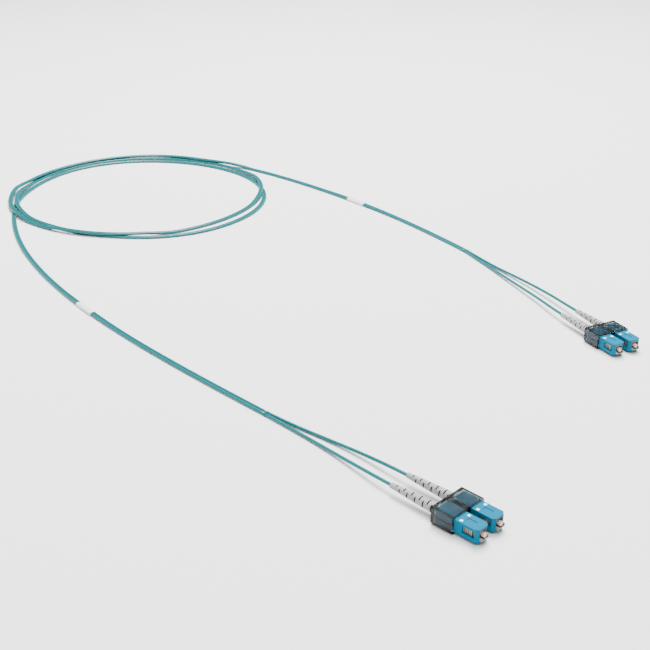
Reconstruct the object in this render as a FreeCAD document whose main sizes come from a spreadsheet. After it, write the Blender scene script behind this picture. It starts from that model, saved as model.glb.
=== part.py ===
import FreeCAD, Part
import math
import os
import Sketcher

V = FreeCAD.Vector

# Duplex fibre optic patch cord. The origin is under the front of the end A clip, on the table.
# X is the way end A plugs in and Z is up. Each connector is drawn along X, from its own axis.
sizes = {
    # where the connectors stand
    "pitch": 12.7,
    "axisHeight": 5.2,
    "endBx": -54.2,
    "endBy": 219.3,
    "endByaw": -18.65,
    # grip, the outer housing
    "gripRear": -11.0,
    "gripFront": 14.0,
    "gripHalfWide": 4.5,
    "gripHalfTall": 3.7,
    "gripCorner": 1.6,
    "gripBoreHalfWide": 3.55,
    "gripBoreHalfTall": 2.75,
    "noseBoreRear": 12.2,
    "noseBoreHalfWide": 2.85,
    "windowRear": 4.8,
    "windowFront": 12.0,
    "windowLow": -1.6,
    "windowHigh": 2.2,
    "keyRear": 4.4,
    "keyFront": 9.6,
    "keyWide": 2.4,
    "keyRise": 0.45,
    "dipDeep": 0.3,
    "markRear": 2.2,
    "markFront": 3.9,
    "markInner": 2.05,
    "markOuter": 3.75,
    "markDeep": 0.12,
    # plug frame, the inner housing
    "frameRear": -6.0,
    "frameShoulder": 10.0,
    "frameFront": 13.6,
    "frameHalfWide": 3.45,
    "frameHalfTall": 2.65,
    "noseHalfWide": 2.75,
    "lipFront": 15.2,
    "lipHigh": 0.9,
    "mouthHalfWide": 2.3,
    "mouthHalfTall": 2.05,
    "mouthRear": 6.3,
    "frameBoreRadius": 2.2,
    "shoulderRear": 5.3,
    "shoulderRadius": 1.8,
    "ribFirst": 5.5,
    "ribPitch": 1.15,
    "ribWide": 0.5,
    "ribFloor": 3.05,
    # ferrule and what slides with it
    "ferruleTip": 15.25,
    "ferruleRadius": 1.25,
    "tipBevel": 0.25,
    "ferruleShown": 6.7,
    "ferruleStub": 3.2,
    "stubRadius": 1.05,
    "fibreRadius": 0.45,
    "flangeFront": 5.25,
    "flangeRear": 1.75,
    "flangeRadius": 2.1,
    "collarRadius": 1.65,
    "tailRear": -1.5,
    "tailRadius": 1.0,
    "keyWayDeep": 1.75,
    "keyWayHalf": 0.4,
    "fibreRear": -15.2,
    # spring, stop body, crimp sleeve and yarn
    "springRear": -3.95,
    "springRadius": 1.7,
    "springWire": 0.22,
    "springPitch": 0.95,
    "stopFront": -4.2,
    "stopShoulder": -6.1,
    "stopBack": -8.9,
    "stopRear": -15.0,
    "spigotRadius": 2.15,
    "nippleRadius": 1.55,
    "stopBore": 0.75,
    "stopHalfWide": 3.0,
    "stopHalfTall": 2.5,
    "crimpFront": -9.1,
    "crimpRear": -17.0,
    "crimpInner": 1.8,
    "crimpRadius": 2.1,
    "crimpWaist": 1.95,
    "crimpStep": 1.0,
    "yarnFront": -9.6,
    "yarnRear": -17.3,
    "yarnOuter": 1.75,
    "yarnInner": 1.6,
    "yarnTailOuter": 0.95,
    "yarnTailInner": 0.5,
    # boot
    "bootFront": -13.3,
    "bootCollar": -14.6,
    "bootMiddle": -27.0,
    "bootNeck": -40.6,
    "bootTip": -43.6,
    "bootRadius": 2.9,
    "bootMiddleRadius": 2.42,
    "bootNeckRadius": 1.68,
    "bootTipRadius": 1.6,
    "bootSocket": 2.2,
    "bootSocketRear": -17.4,
    "bootBore": 1.25,
    "slotFirst": -16.0,
    "slotStep": 2.62,
    "slotWide": 0.8,
    "slotFloor": 1.3,
    "slotFloorFront": 1.5,
    # clip that makes the pair
    "clipRear": -13.1,
    "clipFront": 0.0,
    "clipHalfWide": 12.35,
    "clipTop": 10.4,
    "clipCorner": 1.1,
    "clipWall": 1.5,
    "clipBackWall": 1.3,
    "clipPlay": 0.06,
    "bootHole": 3.25,
    "slotRear": -9.5,
    "slotFront": -3.2,
    "slotHalf": 0.95,
    "snapRear": -8.9,
    "snapFront": -3.8,
    "snapHalf": 0.6,
    "snapTop": 9.5,
    "webHalf": 1.25,
    "notchDeep": 0.7,
    # cable
    "legRadius": 1.0,
    "zipWide": 4.1,
    "zipThick": 2.0,
    "legStart": -20.0,
    "legBend": -48.0,
    "legSplit": 1.05,
    "labelWide": 4.9,
    "labelThick": 2.75,
    "labelInnerWide": 4.35,
    "labelInnerThick": 2.22,
    "labelLong": 21.5,
    "coilX": -518.5,
    "coilY": 185.9,
    "coilOuter": 120.3,
    "coilInner": 99.5,
    "coilTall": 4.1,
}

doc = FreeCAD.newDocument("PatchCord")
sheet = doc.addObject("Spreadsheet::Sheet", "Sizes")
for row, (alias, number) in enumerate(sizes.items(), 1):
    sheet.set("A%d" % row, alias)
    sheet.set("B%d" % row, str(number))
    sheet.setAlias("B%d" % row, alias)
doc.recompute()


def amount(text):
    """Value and expression of a sum of cells, such as 'slotFirst -3*slotStep'. '' is zero."""
    value = 0.0
    terms = []
    for token in text.split():
        sign = -1 if token.startswith("-") else 1
        factor, _, name = token.lstrip("-").rpartition("*")
        factor = sign * float(factor or 1)
        value += factor * sizes[name]
        terms.append("%g * Sizes.%s" % (factor, name))
    return value, " + ".join(terms)


def opposite(text):
    """The same sum with every sign turned round."""
    return " ".join(word[1:] if word.startswith("-") else "-" + word for word in text.split())


def bind(thing, prop, text):
    value, formula = amount(text)
    if formula:
        thing.setExpression(prop, formula)


def box(x, y, z):
    """A block from three (low, high) pairs of sums."""
    block = doc.addObject("Part::Box", "Block")
    for prop, axis, (low, high) in zip(("Length", "Width", "Height"), "xyz", (x, y, z)):
        bind(block, prop, high + " " + opposite(low))
        bind(block, "Placement.Base." + axis, low)
    return block


def rod(low, high, radius, y="", z=""):
    """A cylinder along X."""
    bar = doc.addObject("Part::Cylinder", "Rod")
    bar.Placement = FreeCAD.Placement(V(0, 0, 0), FreeCAD.Rotation(V(0, 1, 0), 90))
    bind(bar, "Radius", radius)
    bind(bar, "Height", high + " " + opposite(low))
    for axis, place in zip("xyz", (low, y, z)):
        bind(bar, "Placement.Base." + axis, place)
    return bar


def joined(pieces):
    if len(pieces) == 1:
        return pieces[0]
    whole = doc.addObject("Part::MultiFuse", "Joined")
    whole.Shapes = pieces
    return whole


def carved(label, place, pieces, tools):
    """The pieces as one solid, less the tools."""
    solid = doc.addObject("Part::Cut", label)
    solid.Label = label
    solid.Base = joined(pieces)
    solid.Tool = joined(tools)
    solid.Placement = place
    return solid


def outline(body, role, corners):
    """Closed sketch on an origin plane, every corner tied to the sheet."""
    sketch = body.newObject("Sketcher::SketchObject", "Outline")
    flat = next(item for item in body.Origin.OriginFeatures if item.Role == role)
    sketch.AttachmentSupport = [(flat, "")]
    sketch.MapMode = "FlatFace"
    spots = [(amount(x), amount(y)) for x, y in corners]
    count = len(spots)
    for i in range(count):
        here, there = spots[i], spots[(i + 1) % count]
        line = Part.LineSegment(V(here[0][0], here[1][0], 0), V(there[0][0], there[1][0], 0))
        sketch.addGeometry(line, False)
    for i in range(count):
        sketch.addConstraint(Sketcher.Constraint("Coincident", i, 2, (i + 1) % count, 1))
    for i, (across, up) in enumerate(spots):
        for kind, axis, (value, formula) in (("DistanceX", -2, across), ("DistanceY", -1, up)):
            if formula:
                tie = Sketcher.Constraint(kind, -1, 1, i, 1, value)
                number = sketch.addConstraint(tie)
                sketch.setExpression("Constraints[%d]" % number, formula)
            else:
                sketch.addConstraint(Sketcher.Constraint("PointOnObject", i, 1, axis))
    return sketch


def newBody(label, place):
    body = doc.addObject("PartDesign::Body", label)
    body.Label = label
    body.Placement = place
    return body


def turned(label, place, corners):
    """A piece turned about the connector's axis."""
    body = newBody(label, place)
    feature = body.newObject("PartDesign::Revolution", "Turn")
    feature.Profile = outline(body, "XY_Plane", corners)
    feature.ReferenceAxis = (feature.Profile[0], ["H_Axis"])
    feature.Angle = 360
    return body


def padded(role, corners, length, reverse=False, symmetric=False):
    body = newBody("Slab", FreeCAD.Placement())
    feature = body.newObject("PartDesign::Pad", "Pad")
    feature.Profile = outline(body, role, corners)
    bind(feature, "Length", length)
    feature.Reversed = reverse
    if symmetric:
        feature.SideType = "Symmetric"
    return body


def bothSides(low, high):
    """The same stretch to the left and to the right of the axis."""
    return ((low, high), (opposite(high), opposite(low)))


def around(half):
    return (opposite(half), half)


def makeGrip(label, place):
    nose = "gripFront -gripCorner"
    shape = [
        ("gripRear", "-gripHalfWide"), (nose, "-gripHalfWide"),
        ("gripFront", "-gripHalfWide gripCorner"), ("gripFront", "gripHalfWide -gripCorner"),
        (nose, "gripHalfWide"), ("gripRear", "gripHalfWide"),
    ]
    block = padded("XY_Plane", shape, "2*gripHalfTall", symmetric=True)
    keyLong, keyAcross = ("keyRear", "keyFront"), around("0.5*keyWide")
    key = box(keyLong, keyAcross, ("-gripHalfTall -keyRise", "keyRise -gripHalfTall"))
    tools = [
        box(keyLong, keyAcross, ("gripHalfTall -dipDeep", "2*gripHalfTall")),
        box(("2*gripRear", "noseBoreRear"), around("gripBoreHalfWide"), around("gripBoreHalfTall")),
        box(("gripRear", "2*gripFront"), around("noseBoreHalfWide"), around("gripBoreHalfTall")),
        box(("windowRear", "windowFront"), around("2*gripHalfWide"), ("windowLow", "windowHigh")),
    ]
    for across in bothSides("markInner", "markOuter"):
        for up in bothSides("gripHalfTall -markDeep", "2*gripHalfTall"):
            tools.append(box(("markRear", "markFront"), across, up))
    return carved(label, place, [block, key], tools)


def makePlugFrame(label, place):
    nose = around("noseHalfWide")
    pieces = [
        box(("frameRear", "frameShoulder"), around("frameHalfWide"), around("frameHalfTall")),
        box(("shoulderRear", "frameFront"), nose, around("frameHalfTall")),
        box(("shoulderRear", "lipFront"), nose, ("-frameHalfTall", "-lipHigh")),
    ]
    tools = [
        rod("2*frameRear", "shoulderRear", "frameBoreRadius"),
        rod("frameRear", "lipFront", "shoulderRadius"),
        box(("mouthRear", "2*lipFront"), around("mouthHalfWide"), around("mouthHalfTall")),
    ]
    for i in range(3):
        start = "ribFirst %d*ribPitch" % i
        for across in bothSides("ribFloor", "2*ribFloor"):
            tools.append(box((start, start + " ribWide"), across, around("2*ribFloor")))
    return carved(label, place, pieces, tools)


def makeFerrule(label, place):
    return turned(label, place, [
        ("ferruleStub", "fibreRadius"), ("ferruleShown", "fibreRadius"),
        ("ferruleShown", ""), ("ferruleTip", ""),
        ("ferruleTip", "ferruleRadius -tipBevel"), ("ferruleTip -tipBevel", "ferruleRadius"),
        ("ferruleShown", "ferruleRadius"), ("ferruleShown", "stubRadius"),
        ("ferruleStub", "stubRadius"),
    ])


def makeFlange(label, place):
    blank = turned(label + "_blank", FreeCAD.Placement(), [
        ("tailRear", "fibreRadius"), ("ferruleStub", "fibreRadius"),
        ("ferruleStub", "stubRadius"), ("ferruleShown", "stubRadius"),
        ("ferruleShown", "collarRadius"), ("flangeFront", "collarRadius"),
        ("flangeFront", "flangeRadius"), ("flangeRear", "flangeRadius"),
        ("flangeRear", "tailRadius"), ("tailRear", "tailRadius"),
    ])
    long = ("2*tailRear", "2*flangeFront")
    ways = [box(long, across, around("keyWayHalf"))
            for across in bothSides("keyWayDeep", "2*flangeRadius")]
    return carved(label, place, [blank], ways)


def makeStopBody(label, place):
    pieces = [
        rod("stopRear", "stopFront", "nippleRadius"),
        rod("stopShoulder", "stopFront", "spigotRadius"),
        box(("stopBack", "stopShoulder"), around("stopHalfWide"), around("stopHalfTall")),
    ]
    return carved(label, place, pieces, [rod("2*stopRear", "-stopFront", "stopBore")])


def makeCrimp(label, place):
    return turned(label, place, [
        ("crimpRear", "crimpInner"), ("crimpFront", "crimpInner"),
        ("crimpFront", "crimpRadius"), ("crimpFront -2*crimpStep", "crimpRadius"),
        ("crimpFront -3*crimpStep", "crimpWaist"), ("crimpRear 2*crimpStep", "crimpWaist"),
        ("crimpRear crimpStep", "crimpRadius"), ("crimpRear", "crimpRadius"),
    ])


def makeYarn(label, place):
    return turned(label, place, [
        ("yarnRear", "yarnTailInner"), ("stopRear", "yarnInner"), ("yarnFront", "yarnInner"),
        ("yarnFront", "yarnOuter"), ("stopRear", "yarnOuter"), ("yarnRear", "yarnTailOuter"),
    ])


def makeFibre(label, place):
    return turned(label, place, [
        ("fibreRear", ""), ("ferruleShown", ""),
        ("ferruleShown", "fibreRadius"), ("fibreRear", "fibreRadius"),
    ])


def makeBoot(label, place):
    blank = turned(label + "_blank", FreeCAD.Placement(), [
        ("bootTip", "bootBore"), ("bootSocketRear", "bootBore"),
        ("bootSocketRear", "bootSocket"), ("bootFront", "bootSocket"),
        ("bootFront", "bootRadius"), ("bootCollar", "bootRadius"),
        ("bootMiddle", "bootMiddleRadius"), ("bootNeck", "bootNeckRadius"),
        ("bootTip", "bootTipRadius"),
    ])
    wide = around("2*bootRadius")
    slots = []
    for i in range(10):
        middle = "slotFirst -%d*slotStep" % i
        along = (middle + " -0.5*slotWide", middle + " 0.5*slotWide")
        for away in bothSides("slotFloor" if i > 5 else "slotFloorFront", "2*bootRadius"):
            slots.append(box(along, wide, away) if i % 2 else box(along, away, wide))
    return carved(label, place, [blank], slots)


def makeSpring(label, place):
    """Coil spring between the stop body and the flange."""
    helix = doc.addObject("Part::Helix", label + "_path")
    helix.setExpression("Pitch", "Sizes.springPitch")
    helix.setExpression("Height", "Sizes.flangeRear - Sizes.springRear - 3 * Sizes.springWire")
    helix.setExpression("Radius", "Sizes.springRadius")
    ring = doc.addObject("Part::Circle", label + "_wire")
    ring.setExpression("Radius", "Sizes.springWire")
    ring.Placement = FreeCAD.Placement(V(0, 0, 0), FreeCAD.Rotation(V(1, 0, 0), 90))
    ring.setExpression("Placement.Base.x", "Sizes.springRadius")
    doc.recompute()
    spring = doc.addObject("Part::Sweep", label)
    spring.Label = label
    spring.Sections = [ring]
    spring.Spine = (helix, ["Edge%d" % (i + 1) for i in range(len(helix.Shape.Edges))])
    spring.Solid = True
    spring.Frenet = True
    start = V(sizes["springRear"] + 1.5 * sizes["springWire"], 0, 0)
    spring.Placement = place.multiply(FreeCAD.Placement(start, FreeCAD.Rotation(V(0, 1, 0), 90)))
    return spring


def makeClip(label, place, upper):
    """Half of the clip that makes the pair, split at the connectors' axes."""
    edge = "clipTop" if upper else ""
    bend = "clipTop -clipCorner" if upper else "clipCorner"
    shape = [
        ("-clipHalfWide", "axisHeight"), ("-clipHalfWide", bend),
        ("-clipHalfWide clipCorner", edge), ("clipHalfWide -clipCorner", edge),
        ("clipHalfWide", bend), ("clipHalfWide", "axisHeight"),
    ]
    pieces = [padded("YZ_Plane", shape, "clipFront -clipRear", reverse=True)]
    tools = [box(("clipRear clipWall", "-clipWall"), around("webHalf"),
                 ("clipWall", "clipTop -clipWall"))]
    for middle in ("0.5*pitch", "-0.5*pitch"):
        tools.append(box(("clipRear clipBackWall", "gripFront"),
                         (middle + " -gripHalfWide -clipPlay", middle + " gripHalfWide clipPlay"),
                         ("axisHeight -gripHalfTall -clipPlay", "axisHeight gripHalfTall clipPlay")))
        tools.append(rod("2*clipRear", "gripFront", "bootHole", middle, "axisHeight"))
    if upper:
        tools.append(box(("slotRear", "slotFront"), around("slotHalf"), ("axisHeight", "2*clipTop")))
        tools.append(box(("2*clipRear", "clipRear notchDeep"), around("webHalf"),
                         ("clipTop -clipWall", "2*clipTop")))
        return carved(label, place, pieces, tools)
    shell = carved(label + "_shell", FreeCAD.Placement(), pieces, tools)
    post = box(("snapRear", "snapFront"), around("snapHalf"), ("0.5*clipWall", "snapTop"))
    clip = doc.addObject("Part::Fuse", label)
    clip.Label = label
    clip.Base = shell
    clip.Tool = post
    clip.Placement = place
    return clip


def routeWire(name, points):
    """Straight runs joined by tangent arcs."""
    spots = [V(*p) for p in points]
    edges = []
    here = spots[0]
    radii = []
    for before, corner, after in zip(spots, spots[1:], spots[2:]):
        inward = (corner - before).normalize()
        onward = (after - corner).normalize()
        shorter = min((corner - before).Length, (after - corner).Length)
        turn = inward.getAngle(onward)
        reach = 0.45 * shorter
        radius = reach / math.tan(turn / 2)
        radii.append(radius)
        start = corner - inward * reach
        end = corner + onward * reach
        middle = corner + (onward - inward).normalize() * (radius / math.cos(turn / 2) - radius)
        edges.append(Part.LineSegment(here, start).toShape())
        edges.append(Part.Arc(start, middle, end).toShape())
        here = end
    edges.append(Part.LineSegment(here, spots[-1]).toShape())
    print("%s: tightest radius %.0f mm" % (name, min(radii)))
    return Part.Wire(edges)


def stadium(wide, thick, middle, heading):
    """Flat oval, upright across the heading."""
    side = V(-heading.y, heading.x, 0).normalize()
    up = V(0, 0, 1)
    reach = side * (wide - thick) / 2
    rise = up * thick / 2
    left, right = middle + reach, middle - reach
    edges = [
        Part.LineSegment(right - rise, left - rise).toShape(),
        Part.Arc(left - rise, left + side * thick / 2, left + rise).toShape(),
        Part.LineSegment(left + rise, right + rise).toShape(),
        Part.Arc(right + rise, right - side * thick / 2, right - rise).toShape(),
    ]
    return Part.Wire(edges)


def swept(wire, profile, flat):
    pipe = Part.BRepOffsetAPI.MakePipeShell(wire)
    if flat:
        pipe.setBiNormalMode(V(0, 0, 1))
    pipe.setTransitionMode(0)
    pipe.add(profile, False, False)
    pipe.build()
    pipe.makeSolid()
    return pipe.shape()


def addShape(label, shape):
    feature = doc.addObject("Part::Feature", label)
    feature.Label = label
    feature.Shape = shape
    return feature


def makeCord(label, points, flat):
    """A solid cable along its route, round or flat."""
    wire = routeWire(label, points)
    start = V(*points[0])
    heading = (V(*points[1]) - start).normalize()
    if flat:
        wide, thick = sizes["zipWide"], sizes["zipThick"]
        profile = stadium(wide, thick, start, heading)
        section = (wide - thick) * thick + math.pi * thick ** 2 / 4
    else:
        profile = Part.Wire(Part.Circle(start, heading, sizes["legRadius"]).toShape())
        section = math.pi * sizes["legRadius"] ** 2
    solid = swept(wire, profile, flat)
    print("%s: length %.1f mm, volume over section %.1f mm" %
          (label, wire.Length, solid.Volume / section))
    return addShape(label, solid)


def makeLabel(label, rear, front):
    """Printed sleeve round the flat cable, blank here."""
    start, end = V(*rear), V(*front)
    heading = (end - start).normalize()
    first = (start + end) / 2 - heading * sizes["labelLong"] / 2
    along = heading * sizes["labelLong"]
    outer = Part.Face(stadium(sizes["labelWide"], sizes["labelThick"], first, heading))
    inner = Part.Face(stadium(sizes["labelInnerWide"], sizes["labelInnerThick"], first, heading))
    return addShape(label, outer.extrude(along).cut(inner.extrude(along)))


def makeCoil(label):
    """The outer shape of the loose coil."""
    cell = sizes
    base = V(cell["coilX"], cell["coilY"], 0)
    disc = Part.makeCylinder(cell["coilOuter"], cell["coilTall"], base)
    return addShape(label, disc.cut(Part.makeCylinder(cell["coilInner"], cell["coilTall"], base)))


endA = FreeCAD.Placement()
endB = FreeCAD.Placement(V(sizes["endBx"], sizes["endBy"], 0),
                         FreeCAD.Rotation(V(0, 0, 1), sizes["endByaw"]))
makers = {
    "grip": makeGrip,
    "plug_frame": makePlugFrame,
    "ferrule": makeFerrule,
    "ferrule_flange": makeFlange,
    "spring": makeSpring,
    "stop_body": makeStopBody,
    "crimp_sleeve": makeCrimp,
    "aramid_yarn": makeYarn,
    "buffered_fibre": makeFibre,
    "boot": makeBoot,
}
# each leg after its boot, as far as the split; x is up to the end's own place
legRoutes = {
    "a1": [(-76.4, -2.6, 2.4), (-102.0, -0.2, 1.1), (-126.0, 0.7, 1.0)],
    "a2": [(-77.0, 8.1, 2.4), (-102.0, 6.8, 1.1), (-126.0, 4.0, 1.0)],
    "b1": [(-128.0, 242.2, 3.7), (-160.0, 256.0, 2.4), (-192.0, 270.2, 1.1)],
    "b2": [(-126.0, 253.2, 3.9), (-155.0, 263.4, 2.5), (-186.0, 272.4, 1.1),
           (-206.0, 278.6, 1.0)],
}
splits = {"a": ((-145.0, 2.1, 1.0), (-172.0, 2.0, 1.0)),
          "b": ((-223.0, 283.3, 1.0), (-246.0, 289.2, 1.0))}
# the flat cable from each split to the coil; it rises a little inside its label
zipRoutes = {
    "a": [splits["a"][0], splits["a"][1], (-218.0, 2.4, 1.0), (-266.0, 4.0, 1.0),
          (-300.0, 6.3, 1.0), (-327.0, 8.8, 1.42), (-354.0, 12.1, 1.42), (-385.0, 17.0, 1.0),
          (-425.0, 25.6, 1.0), (-465.0, 37.3, 1.0), (-497.0, 49.6, 1.0), (-520.0, 60.4, 1.0),
          (-539.1, 70.5, 1.0)],
    "b": [splits["b"][0], splits["b"][1], (-290.0, 298.8, 1.0), (-325.0, 304.6, 1.0),
          (-350.0, 307.3, 1.42), (-378.0, 309.9, 1.42), (-408.0, 311.6, 1.0),
          (-445.0, 312.2, 1.0), (-478.0, 310.9, 1.0), (-502.0, 308.4, 1.0),
          (-520.0, 304.9, 1.0)],
}

nodes = []
for letter, end in (("a", endA), ("b", endB)):
    splitAt, splitOn = (V(*p) for p in splits[letter])
    onward = (splitOn - splitAt).normalize()
    for number, side in ((1, -1), (2, 1)):
        name = "%s%d" % (letter, number)
        axis = V(0, side * sizes["pitch"] / 2, sizes["axisHeight"])
        place = end.multiply(FreeCAD.Placement(axis, FreeCAD.Rotation()))
        for piece, make in makers.items():
            nodes.append(make("%s_%s" % (piece, name), place))
        inside = end.multVec(V(sizes["legStart"], axis.y, axis.z))
        outside = end.multVec(V(sizes["legBend"], axis.y, axis.z))
        across = V(onward.y, -onward.x, 0) * side * sizes["legSplit"]
        last = splitAt + across
        route = [tuple(inside), tuple(outside)] + legRoutes[name] + [tuple(last)]
        nodes.append(makeCord("leg_" + name, route, False))
    nodes.append(makeClip("clip_upper_" + letter, end, True))
    nodes.append(makeClip("clip_lower_" + letter, end, False))
    nodes.append(makeCord("zip_cord_" + letter, zipRoutes[letter], True))
    rising = [p for p in zipRoutes[letter] if p[2] > 1.4]
    nodes.append(makeLabel("label_sleeve_" + letter, rising[0], rising[1]))
nodes.append(makeCoil("cord_coil"))

doc.recompute()
for item in doc.Objects:
    if "Invalid" in item.State or "Error" in item.State:
        raise RuntimeError("%s (%s) is not built: %s" % (item.Name, item.Label, item.State))
os.makedirs("parts", exist_ok=True)
for node in nodes:
    shape = node.Shape
    if shape.isNull() or not shape.isValid() or len(shape.Solids) != 1:
        raise RuntimeError("%s is not one valid solid: %d" % (node.Label, len(shape.Solids)))
    shape.exportStep("parts/%s.step" % node.Label)
    print("%-18s %9.2f mm3" % (node.Label, shape.Volume))
print("%d sub-parts" % len(nodes))
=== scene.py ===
import math
import bpy
from mathutils import Matrix, Vector


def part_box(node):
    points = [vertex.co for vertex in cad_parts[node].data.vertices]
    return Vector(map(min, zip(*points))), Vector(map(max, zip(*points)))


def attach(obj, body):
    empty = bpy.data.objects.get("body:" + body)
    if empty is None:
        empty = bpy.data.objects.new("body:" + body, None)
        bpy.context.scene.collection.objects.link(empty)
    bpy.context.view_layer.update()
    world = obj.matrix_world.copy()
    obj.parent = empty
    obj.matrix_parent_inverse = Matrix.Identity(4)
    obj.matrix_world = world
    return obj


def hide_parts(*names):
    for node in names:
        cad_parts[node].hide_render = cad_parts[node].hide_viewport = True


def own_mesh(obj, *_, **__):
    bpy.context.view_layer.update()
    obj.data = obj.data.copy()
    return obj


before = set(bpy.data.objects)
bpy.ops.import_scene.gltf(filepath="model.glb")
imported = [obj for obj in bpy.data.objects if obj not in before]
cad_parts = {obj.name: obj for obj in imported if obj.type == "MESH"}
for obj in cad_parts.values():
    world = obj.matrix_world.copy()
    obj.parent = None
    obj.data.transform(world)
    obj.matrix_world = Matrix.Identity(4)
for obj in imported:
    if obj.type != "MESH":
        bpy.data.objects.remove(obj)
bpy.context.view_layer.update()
mm = 0.001

# the two ends, each a place on the table and a heading in degrees
ends = {
    "a": {"x": 0.0, "y": 0.0, "heading": 0.0},
    "b": {"x": -54.2, "y": 219.3, "heading": -18.65},
}
connector = {"pitch": 12.7, "axisHeight": 5.2}


def endMatrix(letter):
    end = ends[letter]
    turn = Matrix.Rotation(math.radians(end["heading"]), 4, "Z")
    return Matrix.Translation((end["x"] * mm, end["y"] * mm, 0)) @ turn


def inEnd(letter, along, across, up):
    return endMatrix(letter) @ Vector((along * mm, across * mm, up * mm))


# camera, at the height of someone looking down on the table
camera = {"place": (250.8, -349.1, 308.5), "heading": 134.9, "tilt": 25.42, "lens": 59.16}


def setCamera():
    data = bpy.data.cameras.new("tableCamera")
    data.lens = camera["lens"]
    data.sensor_width = 36
    data.clip_end = 20
    eye = bpy.data.objects.new("tableCamera", data)
    eye.location = [value * mm for value in camera["place"]]
    eye.rotation_euler = (math.radians(90 - camera["tilt"]), 0, math.radians(camera["heading"] - 90))
    bpy.context.collection.objects.link(eye)
    bpy.context.scene.camera = eye


setCamera()
print("stage: camera")

# the cable's route in mm: each leg from inside its boot to the split, the flat cable from
# each split to the coil
cable = {"round": 2.0, "wide": 4.1, "web": 0.55, "split": 1.05, "legStart": -20, "legBend": -48}
legRoutes = {
    "a1": [(-76.4, -2.6, 2.4), (-102.0, -0.2, 1.1), (-126.0, 0.7, 1.0)],
    "a2": [(-77.0, 8.1, 2.4), (-102.0, 6.8, 1.1), (-126.0, 4.0, 1.0)],
    "b1": [(-128.0, 242.2, 3.7), (-160.0, 256.0, 2.4), (-192.0, 270.2, 1.1)],
    "b2": [(-126.0, 253.2, 3.9), (-155.0, 263.4, 2.5), (-186.0, 272.4, 1.1),
           (-206.0, 278.6, 1.0)],
}
zipRoutes = {
    "a": [(-145.0, 2.1, 1.0), (-172.0, 2.0, 1.0), (-218.0, 2.4, 1.0), (-266.0, 4.0, 1.0),
          (-300.0, 6.3, 1.0), (-327.0, 8.8, 1.42), (-354.0, 12.1, 1.42), (-385.0, 17.0, 1.0),
          (-425.0, 25.6, 1.0), (-465.0, 37.3, 1.0), (-497.0, 49.6, 1.0), (-520.0, 60.4, 1.0),
          (-539.1, 70.5, 1.0)],
    "b": [(-223.0, 283.3, 1.0), (-246.0, 289.2, 1.0), (-290.0, 298.8, 1.0),
          (-325.0, 304.6, 1.0), (-350.0, 307.3, 1.42), (-378.0, 309.9, 1.42),
          (-408.0, 311.6, 1.0), (-445.0, 312.2, 1.0), (-478.0, 310.9, 1.0),
          (-502.0, 308.4, 1.0), (-520.0, 304.9, 1.0)],
}
# the loose turns, clockwise from where the first tail comes in. The line swings evenly from one
# (degrees gone, radius) to the next. It climbs over an earlier stretch wherever their middles
# come closer than "near", unless they are less than "apart" from each other along the cable
coil = {
    "x": -518.5, "y": 185.9, "start": 244.9, "step": 15, "gone": 855,
    "swings": [(-30, 115), (35, 102), (75, 105), (130, 101.5), (235, 116), (250, 116.5),
               (322, 102), (368, 107.5), (445, 113.5), (495, 111), (525, 112), (603, 104.5),
               (645, 107), (668, 106.5), (733, 113), (762, 112), (818, 115.5), (885, 108)],
    "low": 1.0, "lift": 2.08, "near": 4.7, "apart": 60, "slope": 0.08, "layers": 4, "smooth": 4,
}


def coilRadius(gone):
    swings = coil["swings"]
    for (start, first), (end, second) in zip(swings, swings[1:]):
        if gone <= end:
            ease = 0.5 - 0.5 * math.cos(math.pi * (gone - start) / (end - start))
            return first + (second - first) * ease


def coilPoints():
    swell = 1 / math.cos(math.radians(coil["step"]) / 2)  # the spline runs just inside its points
    points = []
    for gone in range(0, coil["gone"] + 1, coil["step"]):
        angle = math.radians(coil["start"] - gone)
        reach = coilRadius(gone) * swell
        points.append((coil["x"] + reach * math.cos(angle), coil["y"] + reach * math.sin(angle),
                       coil["low"]))
    return points


def splinePath(name, points, detail=12):
    # a smooth line through the route, read back as points
    line = bpy.data.curves.new(name + "Line", "CURVE")
    line.dimensions = "3D"
    line.resolution_u = detail
    spline = line.splines.new("NURBS")
    spline.points.add(len(points) - 1)
    for spot, point in zip(spline.points, points):
        spot.co = (point[0] * mm, point[1] * mm, point[2] * mm, 1)
    spline.order_u = 3
    spline.use_endpoint_u = True
    holder = bpy.data.objects.new(name + "Line", line)
    bpy.context.collection.objects.link(holder)
    flat = bpy.data.meshes.new_from_object(holder)
    path = [vertex.co.copy() for vertex in flat.vertices]
    bpy.data.objects.remove(holder)
    bpy.data.curves.remove(line)
    bpy.data.meshes.remove(flat)
    return path


def layOver(path):
    # raises the later of any two stretches that meet, with an even slope up to it and down
    count = len(path)
    gone = [0.0]
    for a, b in zip(path, path[1:]):
        gone.append(gone[-1] + (b - a).length)
    meets = [(i, j) for i in range(count) for j in range(i)
             if abs(path[i].x - path[j].x) < coil["near"] * mm
             and abs(path[i].y - path[j].y) < coil["near"] * mm
             and gone[i] - gone[j] > coil["apart"] * mm
             and (path[i] - path[j]).xy.length < coil["near"] * mm]
    high = [spot.z for spot in path]
    for layer in range(coil["layers"]):
        for i, j in meets:
            high[i] = max(high[i], high[j] + coil["lift"] * mm)
        for i in range(1, count):
            high[i] = max(high[i], high[i - 1] - coil["slope"] * (gone[i] - gone[i - 1]))
        for i in range(count - 2, -1, -1):
            high[i] = max(high[i], high[i + 1] - coil["slope"] * (gone[i + 1] - gone[i]))
    for turn in range(coil["smooth"]):
        high = ([high[0]] + [(high[i - 1] + 2 * high[i] + high[i + 1]) / 4
                             for i in range(1, count - 1)] + [high[-1]])
    return [Vector((spot.x, spot.y, up)) for spot, up in zip(path, high)]


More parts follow.
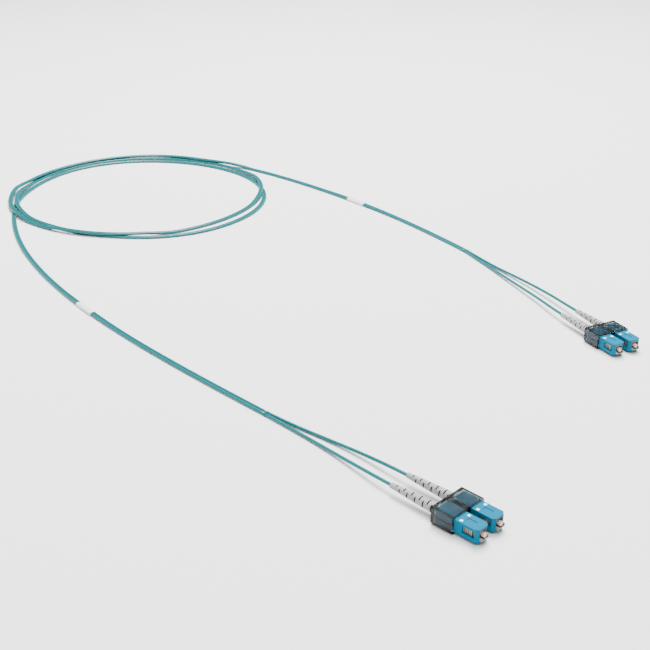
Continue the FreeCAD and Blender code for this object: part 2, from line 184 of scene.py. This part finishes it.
def meshObject(name, points, faces, smooth=True):
    mesh = bpy.data.meshes.new(name)
    mesh.from_pydata(points, [], faces)
    mesh.polygons.foreach_set("use_smooth", [smooth] * len(faces))
    mesh.update()
    thing = bpy.data.objects.new(name, mesh)
    bpy.context.collection.objects.link(thing)
    return thing


def sweepAlong(name, path, section, closed=True):
    # section is a loop of (across, up) offsets, held level along the path
    points, faces = [], []
    count = len(section)
    last = len(path) - 1
    for i, spot in enumerate(path):
        ahead = path[min(i + 1, last)] - path[max(i - 1, 0)]
        side = Vector((-ahead.y, ahead.x, 0)).normalized()
        rise = ahead.cross(side).normalized()
        for across, up in section:
            points.append(spot + side * across * mm + rise * up * mm)
    for i in range(last):
        for j in range(count):
            k = (j + 1) % count
            faces.append((i * count + j, i * count + k, (i + 1) * count + k, (i + 1) * count + j))
    if closed:
        faces.append(tuple(range(count - 1, -1, -1)))
        faces.append(tuple(last * count + j for j in range(count)))
    return meshObject(name, points, faces)


def roundSection(radius, count=20):
    return [(radius * math.cos(2 * math.pi * j / count), radius * math.sin(2 * math.pi * j / count))
            for j in range(count)]


def twinSection(count=20):
    # two round jackets joined by a thin web, with count points on each
    radius = cable["round"] / 2
    middle = cable["wide"] / 2 - radius
    dip = math.asin(cable["web"] / 2 / radius)
    arc = [dip - math.pi + 2 * (math.pi - dip) * j / (count - 1) for j in range(count)]
    right = [(middle + radius * math.cos(a), radius * math.sin(a)) for a in arc]
    left = [(-x, -y) for x, y in right]
    return right + left


jackets = []
zipControl = zipRoutes["a"] + coilPoints() + zipRoutes["b"][::-1]
zipPath = layOver(splinePath("zip", zipControl))
zipCord = sweepAlong("twinCable", zipPath, twinSection())
jackets.append(zipCord)

label = {"long": 21.5, "wide": 4.9, "thick": 2.6, "wall": 0.22}


def ovalSection(wide, thick, count=14):
    radius = thick / 2
    middle = wide / 2 - radius
    arc = [math.pi * (j / (count - 1) - 0.5) for j in range(count)]
    right = [(middle + radius * math.cos(a), radius * math.sin(a)) for a in arc]
    return right + [(-x, -y) for x, y in right]


def makeLabel(letter):
    low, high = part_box("label_sleeve_" + letter)
    middle = (Vector(low) + Vector(high)) / 2
    nearest = min(range(len(zipPath)), key=lambda i: (zipPath[i] - middle).length)
    stretch = [zipPath[nearest]]
    reach = label["long"] / 2 * mm
    for direction in (-1, 1):
        walked = 0.0
        i = nearest
        while walked < reach:
            step = zipPath[i + direction] - zipPath[i]
            take = min(step.length, reach - walked)
            spot = zipPath[i] + step.normalized() * take
            stretch = stretch + [spot] if direction > 0 else [spot] + stretch
            walked += step.length
            i += direction
    outer = ovalSection(label["wide"], label["thick"])
    inner = ovalSection(label["wide"] - 2 * label["wall"], label["thick"] - 2 * label["wall"])
    skin = sweepAlong("labelSleeve_" + letter, stretch, outer, closed=False)
    lining = sweepAlong("labelLining_" + letter, stretch, inner, closed=False)
    count, rings = len(outer), len(stretch)
    points = [v.co.copy() for v in skin.data.vertices] + [v.co.copy() for v in lining.data.vertices]
    faces = [tuple(p.vertices) for p in skin.data.polygons]
    start = len(skin.data.vertices)
    faces += [tuple(start + v for v in reversed(p.vertices)) for p in lining.data.polygons]
    for j in range(count):
        k = (j + 1) % count
        end = (rings - 1) * count
        faces.append((j, start + j, start + k, k))
        faces.append((end + k, start + end + k, start + end + j, end + j))
    for old in (skin, lining):
        bpy.data.objects.remove(old)
    sleeve = meshObject("labelSleeve_" + letter, points, faces)
    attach(sleeve, "cable")
    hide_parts("label_sleeve_" + letter)
    return sleeve


labels = [makeLabel(letter) for letter in "ab"]
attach(zipCord, "cable")
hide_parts("zip_cord_a", "zip_cord_b", "cord_coil")

for name, route in legRoutes.items():
    letter, side = name[0], -1 if name[1] == "1" else 1
    across = side * connector["pitch"] / 2
    inside = inEnd(letter, cable["legStart"], across, connector["axisHeight"])
    outside = inEnd(letter, cable["legBend"], across, connector["axisHeight"])
    split, onward = (Vector(p) for p in zipRoutes[letter][:2])
    away = (onward - split).normalized()
    last = split + Vector((away.y, -away.x, 0)) * side * cable["split"]
    points = [tuple(inside / mm), tuple(outside / mm)] + route + [tuple(last)]
    path = splinePath("leg_" + name, points)
    leg = sweepAlong("jacketLeg_" + name, path, roundSection(cable["round"] / 2))
    jackets.append(leg)
    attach(leg, "cable")
    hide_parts("leg_" + name)
print("stage: cable")


# shader sockets that take part in ordinary sums
class Wire:
    def __init__(self, board, socket):
        self.board = board
        self.socket = socket

    def sum(self, kind, first, second=0.0):
        return self.board.node("Math", {"operation": kind}, {0: first, 1: second}).out()

    def __add__(self, other):
        return self.sum("ADD", self, other)

    def __radd__(self, other):
        return self.sum("ADD", other, self)

    def __sub__(self, other):
        return self.sum("SUBTRACT", self, other)

    def __rsub__(self, other):
        return self.sum("SUBTRACT", other, self)

    def __mul__(self, other):
        return self.sum("MULTIPLY", self, other)

    def __rmul__(self, other):
        return self.sum("MULTIPLY", other, self)

    def __truediv__(self, other):
        return self.sum("DIVIDE", self, other)

    def __rtruediv__(self, other):
        return self.sum("DIVIDE", other, self)

    def __abs__(self):
        return self.sum("ABSOLUTE", self)

    def __lt__(self, other):
        return self.sum("LESS_THAN", self, other)

    def __gt__(self, other):
        return self.sum("GREATER_THAN", self, other)

    def wave(self):
        return self.sum("SINE", self)

    def root(self):
        return self.sum("SQRT", self)

    def least(self, other):
        return self.sum("MINIMUM", self, other)

    def most(self, other):
        return self.sum("MAXIMUM", self, other)


class Piece:
    def __init__(self, board, node):
        self.board = board
        self.made = node

    def out(self, name=0):
        return Wire(self.board, self.made.outputs[name])


class Board:
    # one material's nodes
    def __init__(self, name):
        self.material = bpy.data.materials.new(name)
        self.material.use_nodes = True
        self.tree = self.material.node_tree
        self.tree.nodes.clear()

    def node(self, kind, settings=None, inputs=None):
        made = self.tree.nodes.new("ShaderNode" + kind)
        for name, value in (settings or {}).items():
            if name == "stops":
                ramp = made.color_ramp.elements
                while len(ramp) < len(value):
                    ramp.new(0.5)
                for spot, (place, colour) in zip(ramp, value):
                    spot.position = place
                    spot.color = (*colour, 1)
            else:
                setattr(made, name, value)
        for name, value in (inputs or {}).items():
            socket = made.inputs[name]
            if isinstance(value, Wire):
                self.tree.links.new(value.socket, socket)
            elif isinstance(value, (tuple, list)) and len(value) == 3 and socket.type == "RGBA":
                socket.default_value = (*value, 1)
            else:
                socket.default_value = value
        return Piece(self, made)

    def mix(self, factor, first, second):
        settings = {"data_type": "RGBA", "clamp_factor": True}
        return self.node("Mix", settings, {0: factor, 6: first, 7: second}).out(2)

    def place(self, letter=None):
        # where a point is on its piece, in metres, turned to the connector's own direction
        spot = self.node("TexCoord").out("Object")
        if letter is None:
            return spot
        end = ends[letter]
        turn = (0, 0, math.radians(end["heading"]))
        where = (end["x"] * mm, end["y"] * mm, 0)
        settings = {"vector_type": "TEXTURE"}
        return self.node("Mapping", settings,
                         {"Vector": spot, "Location": where, "Rotation": turn}).out()

    def split(self, vector):
        parts = self.node("SeparateXYZ", None, {0: vector})
        return [parts.out(i) for i in range(3)]

    def noise(self, place, size, detail=2.0, rough=0.5):
        # size is that of a blotch, in mm
        inputs = {"Vector": place, "Scale": 1 / (size * mm), "Detail": detail, "Roughness": rough}
        return self.node("TexNoise", None, inputs).out(0)

    def grain(self, place, size, strength, depth=0.02):
        # a fine moulded grain; depth in mm
        inputs = {"Height": self.noise(place, size), "Strength": strength, "Distance": depth * mm}
        return self.node("Bump", None, inputs).out()

    def finish(self, inside=None, **inputs):
        names = {name.replace("_", " "): value for name, value in inputs.items()}
        ends = {"Surface": self.node("BsdfPrincipled", None, names).out()}
        if inside:
            ends["Volume"] = inside.out()
        self.node("OutputMaterial", None, ends)
        return self.material


def scaled(colour, factor):
    return tuple(min(1.0, value * factor) for value in colour)


def plastic(name, look, letter=None):
    # moulded plastic: soft blotches of colour, a fine grain and a sheen that varies a little
    board = Board(name)
    place = board.place(letter)
    cloud = board.noise(place, look["blotch"], 3)
    colour = board.mix(cloud, scaled(look["colour"], 1 - look["vary"]),
                       scaled(look["colour"], 1 + look["vary"]))
    rough = look["rough"] + (board.noise(place, look["blotch"] / 3) - 0.5) * look["roughVary"]
    return board.finish(Base_Color=colour, Roughness=rough, Specular_IOR_Level=look["shine"],
                        Normal=board.grain(place, look["grain"], look["bump"]))


jacket = {"colour": (0.0, 0.125, 0.137), "vary": 0.10, "blotch": 6.0, "rough": 0.27,
          "roughVary": 0.10, "shine": 0.4, "grain": 0.25, "bump": 0.12}
# the boot's near-black slot colour is painted shade for the insides of its slots
boot = {"colour": (0.31, 0.31, 0.315), "vary": 0.07, "blotch": 2.5, "rough": 0.55,
        "roughVary": 0.18, "shine": 0.3, "grain": 0.12, "bump": 0.25,
        "slotShadeColour": (0.018, 0.018, 0.019), "skin": 0.05,
        "tapers": [(-14.6, 2.9, 0.0387), (-27.0, 2.42, 0.0544)]}
grip = {"colour": (0.0, 0.145, 0.25), "vary": 0.08, "blotch": 3.0, "rough": 0.40,
        "roughVary": 0.12, "shine": 0.02, "grain": 0.14, "bump": 0.12}
plugFrame = {"colour": (0.22, 0.20, 0.165), "vary": 0.06, "blotch": 1.5, "rough": 0.42,
             "roughVary": 0.14, "shine": 0.45, "grain": 0.1, "bump": 0.15}
labelSkin = {"colour": (0.80, 0.80, 0.80), "vary": 0.03, "blotch": 4.0, "rough": 0.38,
             "roughVary": 0.10, "shine": 0.45, "grain": 0.2, "bump": 0.06}
mark = {"colour": (0.86, 0.90, 0.90), "vary": 0.04, "blotch": 0.6, "rough": 0.5,
        "roughVary": 0.1, "shine": 0.4, "grain": 0.08, "bump": 0.1}
buffer = {"colour": (0.05, 0.5, 0.52), "vary": 0.05, "blotch": 1.0, "rough": 0.4,
          "roughVary": 0.1, "shine": 0.5, "grain": 0.1, "bump": 0.1}
zirconia = {"colour": (0.62, 0.47, 0.44), "vary": 0.03, "blotch": 0.8, "rough": 0.14,
            "roughVary": 0.06, "shine": 0.7, "grain": 0.05, "bump": 0.04}

# smoke grey that shows the grips through it; a painted dark shade along its edges, with a painted
# highlight line just inside it
clip = {"colour": (0.56, 0.60, 0.60), "rim": (0.02, 0.022, 0.024), "line": (0.75, 0.78, 0.78),
        "edgeShadeWide": 0.7, "edgeHighlightWide": 0.5, "vary": 0.07, "blotch": 5.0, "rough": 0.16,
        "roughVary": 0.08, "roughBlotch": 1.2, "ior": 1.3, "shine": 0.2, "grain": 0.5,
        "bump": 0.05, "murk": (0.35, 0.42, 0.44), "density": 250.0, "rear": -13.1,
        "halfWide": 12.35}


def smokePlastic(letter):
    board = Board("smokePlastic_" + letter)
    place = board.place(letter)
    cloud = board.noise(place, clip["blotch"], 3)
    x, y, z = [part / mm for part in board.split(place)]
    fromRear = x - clip["rear"]
    fromSide = clip["halfWide"] - abs(y)
    fromEdge = fromRear.most(fromSide).least(fromRear.least(fromSide).most(z))
    colour = board.mix(cloud, scaled(clip["colour"], 1 - clip["vary"]),
                       scaled(clip["colour"], 1 + clip["vary"]))
    # painted highlight line just inside the edges, then painted dark shade right at the edges
    colour = board.mix(fromEdge < clip["edgeShadeWide"] + clip["edgeHighlightWide"], colour, clip["line"])
    colour = board.mix(fromEdge < clip["edgeShadeWide"], colour, clip["rim"])
    rough = clip["rough"] + board.noise(place, clip["roughBlotch"]) * clip["roughVary"]
    murk = board.node("VolumeAbsorption", None, {"Color": clip["murk"], "Density": clip["density"]})
    return board.finish(murk, Base_Color=colour, Roughness=rough, Transmission_Weight=1.0,
                        IOR=clip["ior"], Specular_IOR_Level=clip["shine"],
                        Normal=board.grain(place, clip["grain"], clip["bump"]))


def bootRubber(letter):
    # light grey outside, with painted shade wherever the surface lies deeper than the skin, in the
    # slots
    board = Board("bootRubber_" + letter)
    place = board.place(letter)
    x, y, z = [part / mm for part in board.split(place)]
    across = abs(y) - connector["pitch"] / 2
    up = z - connector["axisHeight"]
    away = (across * across + up * up).root()
    outer = [radius + (x - start) * slope for start, radius, slope in boot["tapers"]]
    depth = outer[0].least(outer[1]) - away
    # painted shade: the slots' insides are coloured nearly black in place of the shadow that falls
    # in them
    slotShadeMask = depth > boot["skin"]
    cloud = board.noise(place, boot["blotch"], 3)
    skin = board.mix(cloud, scaled(boot["colour"], 1 - boot["vary"]),
                     scaled(boot["colour"], 1 + boot["vary"]))
    rough = boot["rough"] + (board.noise(place, boot["blotch"] / 3) - 0.5) * boot["roughVary"]
    return board.finish(Base_Color=board.mix(slotShadeMask, skin, boot["slotShadeColour"]), Roughness=rough,
                        Specular_IOR_Level=boot["shine"],
                        Normal=board.grain(place, boot["grain"], boot["bump"]))


# colour, roughness and the lathe's pitch in mm
metals = {
    "ferrule_flange": ("flangeNickel", (0.62, 0.61, 0.58), 0.22, 0.18),
    "spring": ("springSteel", (0.45, 0.46, 0.47), 0.28, 0.07),
    "stop_body": ("stopNickel", (0.55, 0.55, 0.53), 0.26, 0.22),
    "crimp_sleeve": ("crimpNickel", (0.66, 0.65, 0.62), 0.2, 0.15),
}


lathe = {"shade": 0.86, "glint": 1.08, "smear": 0.6, "roughVary": 0.15, "ring": 0.6, "speck": 0.12,
         "bump": 0.25, "depth": 0.01}


def turnedMetal(letter, name, colour, rough, pitch):
    # fine rings left by the lathe, across the connector's axis
    board = Board(name + "_" + letter)
    place = board.place(letter)
    along = board.split(place)[0]
    rings = (along * (2 * math.pi / (pitch * mm))).wave() * 0.5 + 0.5
    smear = board.noise(place, lathe["smear"], 3)
    tone = board.mix(smear, scaled(colour, lathe["shade"]), scaled(colour, lathe["glint"]))
    height = rings * lathe["ring"] + board.noise(place, lathe["speck"]) * (1 - lathe["ring"])
    bump = board.node("Bump", None, {"Height": height, "Strength": lathe["bump"],
                                     "Distance": lathe["depth"] * mm})
    return board.finish(Base_Color=tone, Roughness=rough + smear * lathe["roughVary"], Metallic=1.0,
                        Normal=bump.out())


yarn = {"shade": (0.36, 0.25, 0.05), "colour": (0.78, 0.62, 0.2), "strand": 0.12, "stretch": 0.08,
        "rough": 0.55, "roughVary": 0.25, "sheen": 0.3, "bump": 0.6, "depth": 0.05}


def yarnMaterial(letter):
    # straight bundled fibres along the connector's axis
    board = Board("aramidYarn_" + letter)
    x, y, z = board.split(board.place(letter))
    squeezed = board.node("CombineXYZ", None, {0: x * yarn["stretch"], 1: y, 2: z}).out()
    strands = board.noise(squeezed, yarn["strand"], 4, 0.6)
    colour = board.node("ValToRGB", {"stops": [(0.3, yarn["shade"]), (0.7, yarn["colour"])]},
                        {0: strands}).out()
    bump = board.node("Bump", None, {"Height": strands, "Strength": yarn["bump"],
                                     "Distance": yarn["depth"] * mm})
    return board.finish(Base_Color=colour, Roughness=yarn["rough"] + strands * yarn["roughVary"],
                        Sheen_Weight=yarn["sheen"], Normal=bump.out())


def dress(nodeName, material):
    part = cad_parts[nodeName]
    part = bpy.data.objects[part] if isinstance(part, str) else part
    part.data.materials.clear()
    part.data.materials.append(material)
    return part


jacketSkin = plastic("aquaJacket", jacket)
for cord in jackets:
    cord.data.materials.append(jacketSkin)
for sleeve in labels:
    sleeve.data.materials.append(plastic("labelWhite", labelSkin))

coils = {}
for letter in "ab":
    smoke = smokePlastic(letter)
    dress("clip_upper_" + letter, smoke)
    dress("clip_lower_" + letter, smoke)
    finishes = {
        "grip": plastic("gripBlue_" + letter, grip, letter),
        "plug_frame": plastic("frameBeige_" + letter, plugFrame, letter),
        "ferrule": plastic("zirconia_" + letter, zirconia, letter),
        "aramid_yarn": yarnMaterial(letter),
        "buffered_fibre": plastic("fibreBuffer_" + letter, buffer, letter),
        "boot": bootRubber(letter),
    }
    finishes.update({piece: turnedMetal(letter, *look) for piece, look in metals.items()})
    for side in "12":
        for piece, material in finishes.items():
            part = dress(piece + "_" + letter + side, material)
            if piece == "spring":
                coils[letter + side] = part

# each spring, which shortens against its stop body as its ferrule is pushed back, gets a mesh of its
# own here
spring = {"rear": -4.2, "front": 1.75, "travel": 1.0}
springLong = spring["front"] - spring["rear"]
for letter in "ab":
    for side, across in (("1", -connector["pitch"] / 2), ("2", connector["pitch"] / 2)):
        rear = inEnd(letter, spring["rear"], across, connector["axisHeight"])
        front = inEnd(letter, spring["front"], across, connector["axisHeight"])
        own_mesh(coils[letter + side], "ferrule_" + letter + side + "_slide",
                  axis=tuple(front - rear), anchor=tuple(rear),
                  keep=(springLong - spring["travel"]) / springLong)
print("stage: materials")

# white seating marks, set into the grips
seatMark = {"rear": 2.26, "front": 3.84, "inner": 2.11, "outer": 3.69, "top": 3.69, "thick": 0.1,
            "corner": 0.2}


def markBlock(letter, axisAcross, side, face):
    m = seatMark
    middle = side * (m["inner"] + m["outer"]) / 2
    halfWide = (m["outer"] - m["inner"]) / 2
    halfLong = (m["front"] - m["rear"]) / 2
    centreAlong = (m["front"] + m["rear"]) / 2
    rim = []
    for sx, sy in ((1, 1), (-1, 1), (-1, -1), (1, -1)):
        for k in range(5):
            a = math.atan2(sy, sx) + math.radians(-45 + 22.5 * k)
            rim.append((centreAlong + sx * (halfLong - m["corner"]) + m["corner"] * math.cos(a),
                        middle + sy * (halfWide - m["corner"]) + m["corner"] * math.sin(a)))
    height = connector["axisHeight"]
    levels = [height + face * (m["top"] - m["thick"]), height + face * m["top"]]
    points = [inEnd(letter, x, axisAcross + y, level) for level in levels for x, y in rim]
    count = len(rim)
    faces = [tuple(range(count)), tuple(range(count, 2 * count))]
    faces += [(j, (j + 1) % count, count + (j + 1) % count, count + j) for j in range(count)]
    return points, faces


def makeMarks(letter):
    points, faces = [], []
    for axis in (-connector["pitch"] / 2, connector["pitch"] / 2):
        for side in (-1, 1):
            for face in (-1, 1):
                spots, loops = markBlock(letter, axis, side, face)
                faces += [tuple(len(points) + v for v in loop) for loop in loops]
                points += spots
    pads = meshObject("seatMarks_" + letter, points, faces, smooth=False)
    pads.data.materials.append(plastic("markWhite_" + letter, mark, letter))
    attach(pads, "sleeve_" + letter)


for letter in "ab":
    makeMarks(letter)
print("stage: marks")

# a pale table and soft light
table = {"size": 16.0, "x": -0.3, "y": 0.15, "below": 0.05, "colour": (0.90, 0.90, 0.90)}


def makeTable():
    half = table["size"] / 2
    corners = [Vector((table["x"] + x * half, table["y"] + y * half, -table["below"] * mm))
               for x, y in ((-1, -1), (1, -1), (1, 1), (-1, 1))]
    top = meshObject("tableTop", corners, [(0, 1, 2, 3)])
    board = Board("paleTable")
    cloud = board.noise(board.place(), 400.0)
    colour = board.mix(cloud, scaled(table["colour"], 0.99), table["colour"])
    top.data.materials.append(board.finish(Base_Color=colour, Roughness=0.9,
                                           Specular_IOR_Level=0.1))


light = {"sky": 0.38, "key": 150.0, "keySize": 1.2, "keyPlace": (-0.75, 0.75, 1.9), "fill": 45.0,
         "fillSize": 1.6, "fillPlace": (0.1, -0.4, 2.0)}


def addPanel(name):
    # a square panel of light, turned to the middle of the table
    data = bpy.data.lights.new(name + "Panel", "AREA")
    data.shape = "SQUARE"
    data.size = light[name + "Size"]
    data.energy = light[name]
    panel = bpy.data.objects.new(name + "Panel", data)
    panel.location = light[name + "Place"]
    beam = Vector((table["x"], table["y"], 0)) - panel.location
    panel.rotation_euler = beam.to_track_quat("-Z", "Y").to_euler()
    bpy.context.collection.objects.link(panel)


def makeLight():
    world = bpy.data.worlds.new("studio")
    world.use_nodes = True
    sky = world.node_tree.nodes["Background"]
    sky.inputs["Color"].default_value = (1, 1, 1, 1)
    sky.inputs["Strength"].default_value = light["sky"]
    bpy.context.scene.world = world
    addPanel("key")
    addPanel("fill")


makeTable()
makeLight()
print("stage: table and light")
